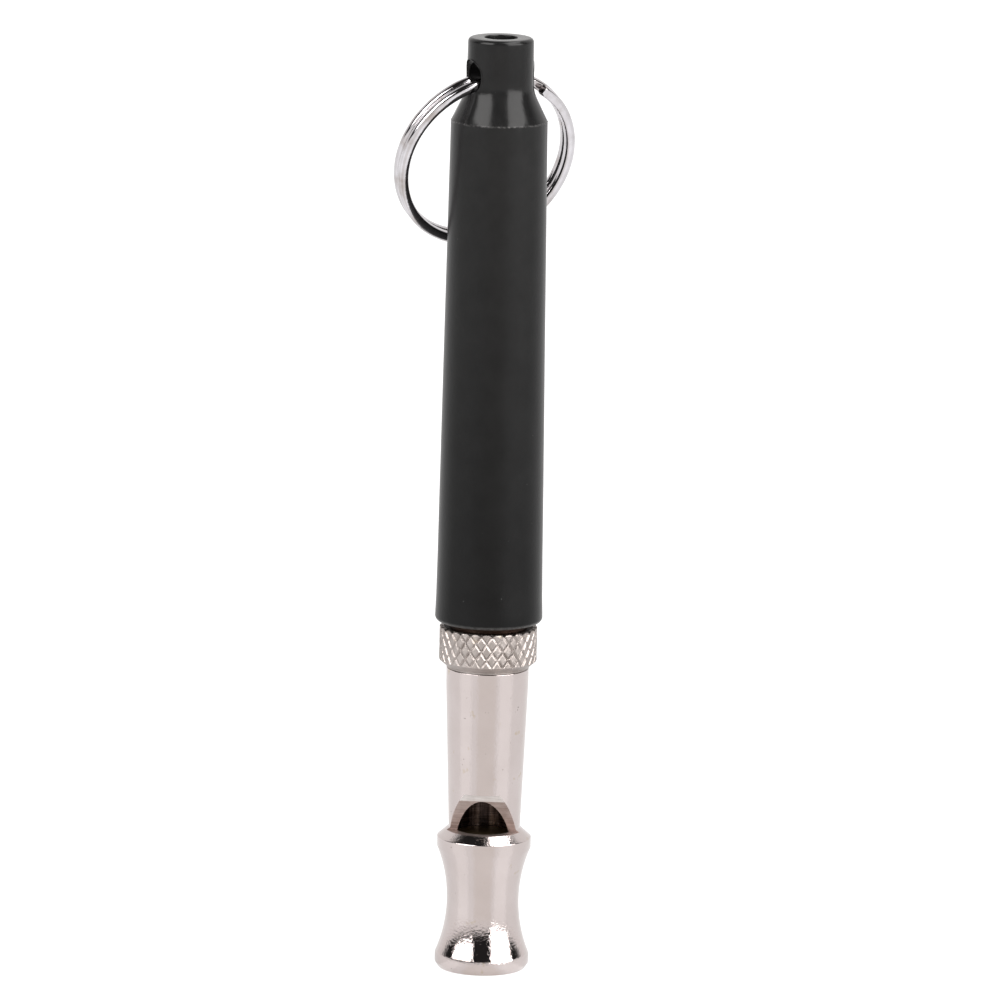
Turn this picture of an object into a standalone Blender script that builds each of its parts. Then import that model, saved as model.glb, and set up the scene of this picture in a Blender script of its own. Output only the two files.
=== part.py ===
"""Adjustable training whistle: a turned brass mouthpiece tube with a lock nut,
a tuning screw, a pull-off plastic cover and a split ring.

The whistle stands upright on its mouth end. Z is its long axis, and the origin
is the centre of the mouth end. The sound window faces -Y. Lengths are in
millimetres in the constants and are turned into metres by MM.
"""
import math

import bmesh
import bpy
from mathutils import Matrix, Vector

MM = 0.001
MERGE = 0.001 * MM            # weld distance for points that coincide
TURN = 2.0 * math.pi

# --- Barrel: one turned piece of 8 mm bar, with mouthpiece, tube and window ---
BAR_R = 4.00                  # bar stock radius, kept at the mouth rim and the ridge
MOUTH_FACE_R = 3.70
MOUTH_CHAMFER_Z = 0.46
MOUTH_RIM_Z = 1.21            # the straight mouth rim ends and the waist begins
WAIST_R = 3.07
RIDGE_LOW_Z = 10.55
RIDGE_TOP_Z = 11.41
TUBE_FOOT_R = 3.04
TUBE_FOOT_Z = 12.25
TUBE_TOP_R = 3.50
TUBE_STRAIGHT_Z = 24.80       # above this the tube stops widening
BARREL_TOP_Z = 26.10
BORE_R = 2.45
BORE_CHAMFER = 0.45
WAIST_POINTS = 12
BARREL_STEPS = 48

# --- Sound window, milled from the front: a level floor, a slanting flank, a ceiling ---
WINDOW_FLOOR_Z = 12.04
WINDOW_FLOOR_FRONT = 1.06     # the floor starts this far in front of the axis
WINDOW_TOP_FRONT = 2.78       # the flank has come this far forward at the ceiling
WINDOW_TOP_Z = 15.56
WINDOW_OPEN_FRONT = 4.40      # clear of the bar
WINDOW_WIDTH = 10.0           # wider than the bar

# --- Fipple plug: pressed in the mouthpiece, with a flat that leaves the windway ---
PLUG_R = 2.40
PLUG_TOP_Z = 11.72
WINDWAY_FLAT_Y = -1.55        # at the mouth end
WINDWAY_SLOPE_DEG = 1.2       # the windway narrows towards the window
WINDWAY_CUTTER_DEPTH = 4.0    # deeper than the plug, so the cut is open in front

# --- Thread of the tuning screw, and its tapped bore in the barrel ---
PITCH = 0.75
SCREW_CREST_R = 2.72
SCREW_ROOT_R = 2.28
THREAD_CLEARANCE = 0.10
TAP_BOTTOM_Z = 19.60
THREAD_STEPS = 16
CREST_SHARE = 0.16            # of the pitch
ROOT_SHARE = 0.24

# --- Tuning screw: its plain tip is the piston that closes the bore ---
PISTON_TIP_Z = 19.20
PISTON_R = 2.22
PISTON_CHAMFER = 0.15
SCREW_THREAD_BOTTOM_Z = 22.40
SCREW_THREAD_TOP_Z = 34.00
HEAD_BOTTOM_Z = 36.60         # three turns down still leave it clear of the nut
HEAD_R = 3.05
HEAD_TOP_Z = 40.00
HEAD_CHAMFER = 0.30
SLOT_WIDTH = 0.70
SLOT_DEPTH = 1.00

# --- Lock nut: a knurled collar with a spigot that the cover is pushed on ---
SEAM_GAP = 0.15
NUT_BOTTOM_Z = BARREL_TOP_Z + SEAM_GAP
NUT_FOOT_R = 3.50
NUT_CHAMFER_Z = 26.62
NUT_CHAMFER_R = 3.92
KNURL_ROOT_R = 3.86
KNURL_CREST_R = 4.14
KNURL_BOTTOM_Z = 26.72
KNURL_TOP_Z = 29.50
NUT_TOP_Z = 29.64
DIAMONDS_ROUND = 27
DIAMOND_ROWS = 4              # half diamonds, one above the other
NUT_BORE_R = 2.84
SPIGOT_R = 3.30
SPIGOT_TOP_Z = 34.20
SPIGOT_CHAMFER = 0.30

# --- Cover: one plastic moulding ---
COVER_BOTTOM_Z = 30.12
COVER_FOOT_R = 4.12
COVER_LIP_R = 4.56
COVER_LIP_Z = 30.58
SLEEVE_WALL = ((4.50, 32.30), (4.44, 36.00), (4.39, 42.00), (4.06, 72.97))
CONE_TOP_Z = 75.50
NECK_FOOT_R = 2.82
NECK_TOP_R = 2.76
NECK_ROUND = 0.36
COVER_TOP_Z = 80.00
TOP_HOLE_R = 1.38
TOP_HOLE_FLOOR_Z = 74.40
CAVITY_R = 3.38
CAVITY_STRAIGHT_Z = 36.00     # the bore is straight where it grips the spigot
CAVITY_TOP_R = 2.90
CAVITY_TOP_Z = 71.60
LIP_POINTS = 5
COVER_STEPS = 44

# --- Cross hole through the neck, and the split ring in it ---
HOLE_YAW_DEG = 31.0           # the hole's left end is turned towards -Y
HOLE_Z = 76.75
HOLE_R = 1.25
HOLE_COUNTERSINK = 0.22
HOLE_STEPS = 32
RING_AXIS_Z = 76.45           # the ring swings on this line in the hole
RING_R = 7.63                 # middle of the wire
RING_DROP = 7.53              # from the swing axis to the ring's centre
RING_LEAN_DEG = 20.8          # hanging, it leans on the back of the cover
WIRE_R = 0.40
COIL_OFFSET = 0.41            # each coil's middle, from the middle of the ring
WIRE_START_DEG = 31.0         # clockwise from the top of the ring, seen from the front
CROSS_START_DEG = 341.0       # the wire crosses to the other coil inside the hole
CROSS_END_DEG = 381.0
WIRE_END_DEG = 701.0
WIRE_STEP_DEG = 6.0

SMOOTH_DEG = 35.0             # edges sharper than this are shaded crisp
KNURL_SMOOTH_DEG = 20.0

NICKEL = (0.62, 0.60, 0.58)
STEEL = (0.66, 0.65, 0.64)
BRASS = (0.72, 0.56, 0.28)
BLACK = (0.022, 0.022, 0.023)


def clear_scene():
    for item in list(bpy.data.objects):
        bpy.data.objects.remove(item, do_unlink=True)


def make_collection(name):
    collection = bpy.data.collections.new(name)
    bpy.context.scene.collection.children.link(collection)
    return collection


def make_material(name, colour, metallic, roughness):
    material = bpy.data.materials.new(name)
    material.use_nodes = True
    shader = material.node_tree.nodes["Principled BSDF"]
    shader.inputs["Base Color"].default_value = (*colour, 1.0)
    shader.inputs["Metallic"].default_value = metallic
    shader.inputs["Roughness"].default_value = roughness
    return material


def add_object(name, mesh, collection, material=None):
    item = bpy.data.objects.new(name, mesh)
    collection.objects.link(item)
    if material:
        item.data.materials.append(material)
    return item


def shade_round(item, angle_deg=SMOOTH_DEG):
    item.data.shade_smooth()
    item.data.set_sharp_from_angle(angle=math.radians(angle_deg))


def turned(name, profile, steps, collection, material=None, closed=False):
    """A profile of (radius, height) points, down the outer side, turned about Z."""
    shape = bmesh.new()
    verts = [shape.verts.new((r * MM, 0.0, z * MM)) for r, z in profile]
    for first, second in zip(verts, verts[1:]):
        shape.edges.new((first, second))
    if closed:
        shape.edges.new((verts[-1], verts[0]))
    mesh = bpy.data.meshes.new(name)
    shape.to_mesh(mesh)
    shape.free()
    item = add_object(name, mesh, collection, material)
    screw = item.modifiers.new("Turn", "SCREW")
    screw.axis = "Z"
    screw.steps = steps
    screw.render_steps = steps
    screw.use_merge_vertices = True
    screw.merge_threshold = MERGE
    screw.use_smooth_shade = True
    return item


def mark_cutter(item):
    item.hide_render = True
    item.display_type = "WIRE"
    return item


def cut(item, cutter):
    boolean = item.modifiers.new("Cut " + cutter.name, "BOOLEAN")
    boolean.operation = "DIFFERENCE"
    boolean.solver = "EXACT"
    boolean.object = mark_cutter(cutter)


def box_cutter(name, size, location, collection):
    shape = bmesh.new()
    bmesh.ops.create_cube(shape, size=1.0)
    bmesh.ops.scale(shape, vec=Vector(size) * MM, verts=shape.verts)
    mesh = bpy.data.meshes.new(name)
    shape.to_mesh(mesh)
    shape.free()
    item = add_object(name, mesh, collection)
    item.location = Vector(location) * MM
    return item


def ring_grid(name, rows, steps, collection, material=None, closed=False):
    """A round body from rings of points. Each row gives (radius, height) at a step.

    A row may climb as it goes round: its last point then meets the first point
    of a later row, as on a thread. With closed, the last ring joins the first.
    """
    shape = bmesh.new()
    grid = []
    for row in rows:
        ring = []
        for step in range(steps + 1):
            radius, height = row(step)
            angle = TURN * (step % steps) / steps
            point = (radius * MM * math.cos(angle), radius * MM * math.sin(angle), height * MM)
            ring.append(shape.verts.new(point))
        grid.append(ring)
    pairs = list(zip(grid, grid[1:]))
    if closed:
        pairs.append((grid[-1], grid[0]))
    for low, high in pairs:
        for step in range(steps):
            shape.faces.new((low[step], low[step + 1], high[step + 1], high[step]))
    bmesh.ops.remove_doubles(shape, verts=shape.verts, dist=MERGE)
    bmesh.ops.dissolve_degenerate(shape, dist=MERGE, edges=shape.edges)
    bmesh.ops.triangulate(shape, faces=shape.faces)
    bmesh.ops.recalc_face_normals(shape, faces=shape.faces)
    mesh = bpy.data.meshes.new(name)
    shape.to_mesh(mesh)
    shape.free()
    return add_object(name, mesh, collection, material)


def flat_row(radius, height):
    return lambda step: (radius, height)


def thread_radius(turns, root, crest):
    """The radius of a thread at a distance along it, in turns, from a crest's middle."""
    part = abs((turns + 0.5) % 1.0 - 0.5)
    crest_half = CREST_SHARE / 2.0
    root_start = 0.5 - ROOT_SHARE / 2.0
    if part <= crest_half:
        return crest
    if part >= root_start:
        return root
    return crest + (root - crest) * (part - crest_half) / (root_start - crest_half)


def thread_rows(low, high, root, crest):
    """Rows that follow a right-hand helix and stop flat at low and at high."""
    lines = (-0.5 + ROOT_SHARE / 2.0, -CREST_SHARE / 2.0, CREST_SHARE / 2.0,
             0.5 - ROOT_SHARE / 2.0)
    first_turn = math.floor(low / PITCH) - 2
    last_turn = math.ceil(high / PITCH) + 1

    def make_row(start):
        def row(step):
            height = (start + step / THREAD_STEPS) * PITCH
            height = min(max(height, low), high)
            turns = height / PITCH - step / THREAD_STEPS
            return thread_radius(turns, root, crest), height
        return row

    return [make_row(turn + line) for turn in range(first_turn, last_turn + 1) for line in lines]


def arc_between(start, end, sagitta, count):
    """Points on a round arc from start to end that bows towards smaller radius."""
    (r0, z0), (r1, z1) = start, end
    half = math.hypot(r1 - r0, z1 - z0) / 2.0
    radius = (half * half + sagitta * sagitta) / (2.0 * sagitta)
    spread = math.asin(half / radius)
    middle_z = (z0 + z1) / 2.0
    centre_r = (r0 + r1) / 2.0 - sagitta + radius
    points = []
    for index in range(1, count):
        angle = spread * (1.0 - 2.0 * index / count)
        points.append((centre_r - radius * math.cos(angle), middle_z + radius * math.sin(angle)))
    return points


def make_tap(collection):
    """The space that the tapped bore needs round the screw's thread."""
    root = SCREW_ROOT_R + THREAD_CLEARANCE
    crest = SCREW_CREST_R + THREAD_CLEARANCE
    above = BARREL_TOP_Z + PITCH
    rows = [flat_row(0.0, TAP_BOTTOM_Z), flat_row(root, TAP_BOTTOM_Z)]
    rows += thread_rows(TAP_BOTTOM_Z, above, root, crest)
    rows += [flat_row(root, above), flat_row(0.0, above)]
    return ring_grid("tap_cutter", rows, THREAD_STEPS, collection)


def make_window_cutter(collection):
    """The space in front of the slanting flank, between the floor and the ceiling."""
    corners = ((WINDOW_FLOOR_FRONT, WINDOW_FLOOR_Z), (WINDOW_TOP_FRONT, WINDOW_TOP_Z),
               (WINDOW_OPEN_FRONT, WINDOW_TOP_Z), (WINDOW_OPEN_FRONT, WINDOW_FLOOR_Z))
    mesh = bpy.data.meshes.new("window_cutter")
    points = [(0.0, -front * MM, height * MM) for front, height in corners]
    mesh.from_pydata(points, [], [range(len(points))])
    cutter = add_object("window_cutter", mesh, collection)
    solidify = cutter.modifiers.new("Width", "SOLIDIFY")
    solidify.thickness = WINDOW_WIDTH * MM
    solidify.offset = 0.0
    return cutter


def make_barrel(collection, cutters, material):
    waist = arc_between((BAR_R, RIDGE_LOW_Z), (BAR_R, MOUTH_RIM_Z), BAR_R - WAIST_R, WAIST_POINTS)
    profile = [
        (TUBE_TOP_R, BARREL_TOP_Z),
        (TUBE_TOP_R, TUBE_STRAIGHT_Z),
        (TUBE_FOOT_R, TUBE_FOOT_Z),
        (BAR_R, RIDGE_TOP_Z),
        (BAR_R, RIDGE_LOW_Z),
        *waist,
        (BAR_R, MOUTH_RIM_Z),
        (BAR_R, MOUTH_CHAMFER_Z),
        (MOUTH_FACE_R, 0.0),
        (BORE_R, 0.0),
        (BORE_R, BARREL_TOP_Z - BORE_CHAMFER),
        (BORE_R + BORE_CHAMFER, BARREL_TOP_Z),
    ]
    barrel = turned("barrel", profile, BARREL_STEPS, collection, material, closed=True)
    cut(barrel, make_window_cutter(cutters))
    cut(barrel, make_tap(cutters))
    return barrel


def make_fipple_plug(collection, cutters, material):
    profile = [(0.0, PLUG_TOP_Z), (PLUG_R, PLUG_TOP_Z), (PLUG_R, 0.0), (0.0, 0.0)]
    plug = turned("fipple_plug", profile, BARREL_STEPS, collection, material)
    size = (4.0 * PLUG_R, WINDWAY_CUTTER_DEPTH, 3.0 * PLUG_TOP_Z)
    cutter = box_cutter("windway_cutter", size, (0.0, WINDWAY_FLAT_Y, 0.0), cutters)
    slope = Matrix.Rotation(math.radians(WINDWAY_SLOPE_DEG), 4, "X")
    cutter.data.transform(slope @ Matrix.Translation((0.0, -WINDWAY_CUTTER_DEPTH / 2.0 * MM, 0.0)))
    cut(plug, cutter)
    return plug


def knurl_radius(step, line):
    """Crests and grooves alternate, so each crest is the top of a diamond."""
    return KNURL_CREST_R if (step + line) % 2 else KNURL_ROOT_R


def make_lock_nut(collection, material):
    steps = 2 * DIAMONDS_ROUND

    def knurl_row(line):
        height = KNURL_BOTTOM_Z + (KNURL_TOP_Z - KNURL_BOTTOM_Z) * line / DIAMOND_ROWS
        return lambda step: (knurl_radius(step, line), height)

    rows = [
        flat_row(NUT_BORE_R, NUT_BOTTOM_Z),
        flat_row(NUT_FOOT_R, NUT_BOTTOM_Z),
        flat_row(NUT_CHAMFER_R, NUT_CHAMFER_Z),
    ]
    rows += [knurl_row(line) for line in range(DIAMOND_ROWS + 1)]
    rows += [
        flat_row(KNURL_ROOT_R, NUT_TOP_Z),
        flat_row(SPIGOT_R, NUT_TOP_Z),
        flat_row(SPIGOT_R, SPIGOT_TOP_Z - SPIGOT_CHAMFER),
        flat_row(SPIGOT_R - SPIGOT_CHAMFER, SPIGOT_TOP_Z),
        flat_row(NUT_BORE_R, SPIGOT_TOP_Z),
    ]
    return ring_grid("lock_nut", rows, steps, collection, material, closed=True)


def make_tuning_screw(collection, cutters, material):
    rows = [
        flat_row(0.0, PISTON_TIP_Z),
        flat_row(PISTON_R - PISTON_CHAMFER, PISTON_TIP_Z),
        flat_row(PISTON_R, PISTON_TIP_Z + PISTON_CHAMFER),
        flat_row(PISTON_R, SCREW_THREAD_BOTTOM_Z - PISTON_CHAMFER),
        flat_row(SCREW_ROOT_R, SCREW_THREAD_BOTTOM_Z),
    ]
    rows += thread_rows(SCREW_THREAD_BOTTOM_Z, SCREW_THREAD_TOP_Z, SCREW_ROOT_R, SCREW_CREST_R)
    rows += [
        flat_row(SCREW_ROOT_R, SCREW_THREAD_TOP_Z),
        flat_row(SCREW_ROOT_R, HEAD_BOTTOM_Z),
        flat_row(HEAD_R - HEAD_CHAMFER, HEAD_BOTTOM_Z),
        flat_row(HEAD_R, HEAD_BOTTOM_Z + HEAD_CHAMFER),
        flat_row(HEAD_R, HEAD_TOP_Z - HEAD_CHAMFER),
        flat_row(HEAD_R - HEAD_CHAMFER, HEAD_TOP_Z),
        flat_row(0.0, HEAD_TOP_Z),
    ]
    screw = ring_grid("tuning_screw", rows, THREAD_STEPS, collection, material)
    size = (3.0 * HEAD_R, SLOT_WIDTH, 2.0 * SLOT_DEPTH)
    cut(screw, box_cutter("slot_cutter", size, (0.0, 0.0, HEAD_TOP_Z), cutters))
    return screw


def cover_lip():
    """The rounded lower lip, from the sleeve's wall down to the end face."""
    points = []
    for index in range(LIP_POINTS + 1):
        angle = math.pi / 2.0 * index / LIP_POINTS
        radius = COVER_FOOT_R + (COVER_LIP_R - COVER_FOOT_R) * math.cos(angle)
        height = COVER_LIP_Z + (COVER_BOTTOM_Z - COVER_LIP_Z) * math.sin(angle)
        points.append((radius, height))
    return points


def neck_round():
    """The rounded top edge of the neck."""
    points = []
    for index in range(LIP_POINTS + 1):
        angle = math.pi / 2.0 * index / LIP_POINTS
        radius = NECK_TOP_R - NECK_ROUND * (1.0 - math.sin(angle))
        height = COVER_TOP_Z - NECK_ROUND * (1.0 - math.cos(angle))
        points.append((radius, height))
    return points


def make_hole_cutter(collection):
    """A cylinder along X with a small countersink where it leaves the neck."""
    wide = HOLE_R + HOLE_COUNTERSINK
    surface = math.sqrt(NECK_FOOT_R ** 2 - HOLE_R ** 2)
    inner = surface - HOLE_COUNTERSINK
    outer = 2.0 * NECK_FOOT_R
    profile = [(0.0, outer), (wide, outer), (wide, surface), (HOLE_R, inner),
               (HOLE_R, -inner), (wide, -surface), (wide, -outer), (0.0, -outer)]
    cutter = turned("hole_cutter", profile, HOLE_STEPS, collection)
    yaw = Matrix.Rotation(math.radians(HOLE_YAW_DEG), 4, "Z")
    along_x = Matrix.Rotation(math.radians(90.0), 4, "Y")
    cutter.matrix_world = Matrix.Translation((0.0, 0.0, HOLE_Z * MM)) @ yaw @ along_x
    return cutter


def make_cover(collection, cutters, material):
    profile = [
        (0.0, TOP_HOLE_FLOOR_Z),
        (TOP_HOLE_R, TOP_HOLE_FLOOR_Z),
        (TOP_HOLE_R, COVER_TOP_Z),
        *neck_round(),
        (NECK_FOOT_R, CONE_TOP_Z),
        *reversed(SLEEVE_WALL),
        *cover_lip(),
        (CAVITY_R, COVER_BOTTOM_Z),
        (CAVITY_R, CAVITY_STRAIGHT_Z),
        (CAVITY_TOP_R, CAVITY_TOP_Z),
        (0.0, CAVITY_TOP_Z),
    ]
    cover = turned("cover", profile, COVER_STEPS, collection, material)
    cut(cover, make_hole_cutter(cutters))
    return cover


def ring_point(angle_deg, offset):
    """A point on the ring, clockwise from its top, in the ring's own axes.

    X runs along the swing axis, -Z from the axis to the ring's centre, and
    offset is measured along +Y, away from the front.
    """
    angle = math.radians(angle_deg)
    x = RING_R * math.sin(angle)
    z = RING_R * math.cos(angle) - RING_DROP
    return Vector((x, offset, z)) * MM


def coil_offset(angle_deg):
    """The front coil, a smooth crossing, and then the back coil."""
    share = (angle_deg - CROSS_START_DEG) / (CROSS_END_DEG - CROSS_START_DEG)
    share = min(max(share, 0.0), 1.0)
    smooth = share * share * (3.0 - 2.0 * share)
    return COIL_OFFSET * (2.0 * smooth - 1.0)


def make_split_ring(collection, material):
    curve = bpy.data.curves.new("split_ring", "CURVE")
    curve.dimensions = "3D"
    curve.bevel_depth = WIRE_R * MM
    curve.bevel_resolution = 2
    curve.use_fill_caps = True
    steps = round((WIRE_END_DEG - WIRE_START_DEG) / WIRE_STEP_DEG)
    spline = curve.splines.new("POLY")
    spline.points.add(steps)
    for index, point in enumerate(spline.points):
        angle = WIRE_START_DEG + (WIRE_END_DEG - WIRE_START_DEG) * index / steps
        point.co = (*ring_point(angle, coil_offset(angle)), 1.0)
    ring = bpy.data.objects.new("split_ring", curve)
    collection.objects.link(ring)
    curve.materials.append(material)
    place = Matrix.Translation((0.0, 0.0, RING_AXIS_Z * MM))
    yaw = Matrix.Rotation(math.radians(HOLE_YAW_DEG), 4, "Z")
    lean = Matrix.Rotation(math.radians(RING_LEAN_DEG), 4, "X")
    ring.matrix_world = place @ yaw @ lean
    return ring


def main():
    clear_scene()
    parts = make_collection("training_whistle")
    cutters = make_collection("cutters")
    nickel = make_material("nickel_plate", NICKEL, 1.0, 0.22)
    knurled = make_material("knurled_nickel", NICKEL, 1.0, 0.30)
    brass = make_material("bare_brass", BRASS, 1.0, 0.35)
    plastic = make_material("black_plastic", BLACK, 0.0, 0.38)
    steel = make_material("ring_steel", STEEL, 1.0, 0.18)

    barrel = make_barrel(parts, cutters, nickel)
    make_fipple_plug(parts, cutters, brass)
    nut = make_lock_nut(parts, knurled)
    screw = make_tuning_screw(parts, cutters, brass)
    make_cover(parts, cutters, plastic)
    make_split_ring(parts, steel)
    for item in (barrel, screw):
        shade_round(item)
    shade_round(nut, KNURL_SMOOTH_DEG)


main()
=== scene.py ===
"""The looks of the adjustable training whistle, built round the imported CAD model."""
import math

import bmesh
import bpy
from mathutils import Matrix, Vector, noise


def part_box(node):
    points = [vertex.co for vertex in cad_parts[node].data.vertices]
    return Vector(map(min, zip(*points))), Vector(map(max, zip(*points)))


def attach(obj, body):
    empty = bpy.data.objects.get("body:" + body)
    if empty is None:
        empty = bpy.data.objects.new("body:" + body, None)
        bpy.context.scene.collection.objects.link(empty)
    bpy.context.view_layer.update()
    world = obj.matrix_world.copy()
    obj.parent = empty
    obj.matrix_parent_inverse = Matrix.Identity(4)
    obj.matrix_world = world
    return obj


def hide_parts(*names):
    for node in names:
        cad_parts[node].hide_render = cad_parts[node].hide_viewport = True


MM = 0.001
TURN = 2.0 * math.pi
MERGE = 0.0005 * MM

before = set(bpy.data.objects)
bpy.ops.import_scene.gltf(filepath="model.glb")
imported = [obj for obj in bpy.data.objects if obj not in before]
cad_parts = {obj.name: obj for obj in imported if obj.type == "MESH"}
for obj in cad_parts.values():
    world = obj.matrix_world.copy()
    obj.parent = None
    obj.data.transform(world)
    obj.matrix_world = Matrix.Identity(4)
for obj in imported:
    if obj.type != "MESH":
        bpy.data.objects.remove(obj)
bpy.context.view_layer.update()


def top_of(node):
    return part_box(node)[1][2] / MM


def bottom_of(node):
    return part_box(node)[0][2] / MM


# ---------------------------------------------------------------------------
# Sizes in millimetres: first the object's, as in the CAD, then the fine detail of each piece
# ---------------------------------------------------------------------------
BARREL_TOP_Z = top_of("barrel")
BAR_R = 4.00
MOUTH_FACE_R = 3.70
MOUTH_CHAMFER_Z = 0.46
MOUTH_RIM_Z = 1.21
WAIST_R = 3.07
RIDGE_LOW_Z = 10.55
RIDGE_TOP_Z = 11.41
TUBE_FOOT_R = 3.04
TUBE_FOOT_Z = 12.25
TUBE_TOP_R = 3.50
TUBE_STRAIGHT_Z = 24.80
BORE_R = 2.45
BORE_CHAMFER = 0.45

WINDOW_FLOOR_Z = 12.04
WINDOW_FLOOR_FRONT = 1.06
WINDOW_TOP_FRONT = 2.78
WINDOW_TOP_Z = 15.56
WINDOW_OPEN_FRONT = 4.40
WINDOW_WIDTH = 10.0

PLUG_R = 2.40
PLUG_TOP_Z = top_of("fipple_plug")
WINDWAY_FLAT_Y = -1.55
WINDWAY_SLOPE_DEG = 1.2
WINDWAY_CUTTER_DEPTH = 4.0

PITCH = 0.75
SCREW_CREST_R = 2.72
SCREW_ROOT_R = 2.28
CREST_SHARE = 0.16
ROOT_SHARE = 0.24
THREAD_CLEARANCE = 0.10
TAP_BOTTOM_Z = 19.60
PISTON_TIP_Z = bottom_of("tuning_screw")
PISTON_R = 2.22
SCREW_THREAD_BOTTOM_Z = 22.40
SCREW_THREAD_TOP_Z = 34.00
HEAD_BOTTOM_Z = 36.60
HEAD_TOP_Z = top_of("tuning_screw")
HEAD_R = 3.05
HEAD_CHAMFER = 0.30
SLOT_WIDTH = 0.70
SLOT_DEPTH = 1.00

NUT_BOTTOM_Z = bottom_of("lock_nut")
NUT_FOOT_R = 3.50
NUT_TOP_Z = 29.64
KNURL_R = 4.14
KNURL_HEIGHT = 2.78
DIAMONDS_ROUND = 27
DIAMONDS_HIGH = 2
NUT_BORE_R = 2.84
SPIGOT_R = 3.30
SPIGOT_CHAMFER = 0.30
SPIGOT_TOP_Z = top_of("lock_nut")

COVER_BOTTOM_Z = bottom_of("cover")
COVER_TOP_Z = top_of("cover")
COVER_FOOT_R = 4.12
COVER_LIP_R = 4.56
COVER_LIP_Z = 30.58
SLEEVE_WALL = ((4.50, 32.30), (4.44, 36.00), (4.39, 42.00), (4.06, 72.97))
CONE_TOP_Z = 75.50
NECK_FOOT_R = 2.82
NECK_TOP_R = 2.76
NECK_ROUND = 0.36
TOP_HOLE_R = 1.38
TOP_HOLE_FLOOR_Z = 74.40
CAVITY_R = 3.38
CAVITY_STRAIGHT_Z = 36.00
CAVITY_TOP_R = 2.90
CAVITY_TOP_Z = 71.60

HOLE_YAW_DEG = 31.0
HOLE_Z = 76.75
HOLE_R = 1.25
HOLE_COUNTERSINK = 0.22

RING_AXIS_Z = 76.45
RING_R = 7.63
RING_DROP = 7.53
RING_LEAN_DEG = 20.8
COIL_OFFSET = 0.41
WIRE_START_DEG = 31.0
CROSS_START_DEG = 341.0
CROSS_END_DEG = 381.0
WIRE_END_DEG = 701.0

# Barrel and plug
TUBE_END_ROUND = 0.04
TUBE_FOOT_ROUND = 0.05
RIDGE_ROUND = 0.10
MOUTH_RIM_ROUND = 0.14
MOUTH_FACE_ROUND = 0.12
MOUTH_BORE_EDGE = 0.10        # chamfer of the bore at the mouth
WINDOW_FACET_Z = 14.92        # the flank is brighter above this height
MILL_MARK_STEP = 0.10         # length of one milling mark on the window's flank
MILL_MARK_DEPTH = 0.006
PLUG_ROUND = 0.04

# Lock nut
SEAM_SHOWN = 0.04             # the real joint line is finer than the CAD's gap
NUT_FOOT_EDGE = 0.03
NUT_CHAMFER_TOP_Z = 26.80     # one slope, where the CAD has two
KNURL_START = 0.02            # height of the plain edge below the knurl
NUT_TOP_CHAMFER = 0.05
GROOVE_WIDTH = 0.28
GROOVE_DEPTH = 0.13
GROOVE_UNEVEN = 0.45          # how much the depth varies, as a share
KNURL_EDGE = 0.25             # the grooves notch the top edge over this height
KNURL_NOTCH = 1.6             # how far they notch it, for each unit of depth
KNURL_BURR = 0.030            # roughness of the knurled surface
KNURL_GRAIN = (9.0, 2.0)      # how fine that is, round the nut and along it
UNEVEN_GRAIN = 0.35           # the grooves' depth varies more slowly, by this factor
SEAT_EDGE = 0.35              # the flat seat starts this far inside the knurl
SEAT_SHADE_EDGE = 0.30         # and its painted shade starts this far inside
SPIGOT_ROUND = 0.05
NUT_BORE_CHAMFER = 0.10

# Tuning screw
TIP_ROUND = 0.12
THREAD_RUNOUT = 0.15
HEAD_ROUND = 0.08
HEAD_UNDER_ROUND = 0.04

# Cover
TOP_HOLE_FLOOR_ROUND = 0.30
TOP_HOLE_ROUND = 0.10
CONE_ROUND = 3.0
FLASH_HEIGHT = 0.06           # the moulding's flash line at the shoulder
FLASH_DEPTH = 0.045
FLASH_SPREAD = 0.05
FLASH_GRAIN = 7.0             # how often the flash line breaks up round the shoulder
FLASH_SHARE = 0.35            # a higher share leaves fewer breaks
SINK_DEPTH = 0.018            # unevenness of the moulding
SINK_GRAIN = (1.6, 0.11)      # how fine that is, round the cover and along it
SHOULDER_STEP = 0.001         # the sleeve starts this much wider below the shoulder
HOLE_BURR = 0.06              # radius of the raised burr round the cross hole
BURR_SUNK = 0.03              # how far the burr's middle is below the neck's surface
BURR_OUT = 0.4                # and how far it is outside the countersink, as a share of its radius
BURR_UNEVEN = 0.35
BURR_GRAIN = 2.0

# Split ring: the wire has flattened sides
WIRE_RADIAL_R = 0.44
WIRE_AXIAL_R = 0.40
WIRE_SQUARENESS = 3.0         # 2 is a round section
WIRE_END_SHARE = 0.93         # the cut ends are a little smaller

# ---------------------------------------------------------------------------
# Fineness of the meshes
# ---------------------------------------------------------------------------
ROUND_STEPS = 192             # sides of a turned piece
PLUG_STEPS = 96
HOLE_STEPS = 64
THREAD_STEPS = 64
TAP_STEPS = 48
WAIST_STEPS = 40
LIP_STEPS = 8
BARREL_STRETCH = 1.0          # the longest stretch of outline between two rings of points
BORE_STRETCH = 2.0
NECK_STRETCH = 0.6
SLEEVE_STRETCH = 1.5
STEPS_PER_DIAMOND = 20
KNURL_ROWS = 76
WIRE_SIDES = 20
WIRE_STEPS = 420
BURR_SIDES = 8
BURR_STEPS = 96
FILLET_STEP_DEG = 12.0
FILLET_SHARE = 0.45           # the most of a stretch of outline that a fillet takes
SMOOTH_DEG = 32.0             # edges sharper than this stay crisp
NUT_SMOOTH_DEG = 40.0
COVER_SMOOTH_DEG = 22.0
RING_SMOOTH_DEG = 45.0


# ---------------------------------------------------------------------------
# Mesh tools
# ---------------------------------------------------------------------------
def new_object(name, mesh, *materials):
    item = bpy.data.objects.new(name, mesh)
    bpy.context.scene.collection.objects.link(item)
    for material in materials:
        item.data.materials.append(material)
    return item


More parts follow.
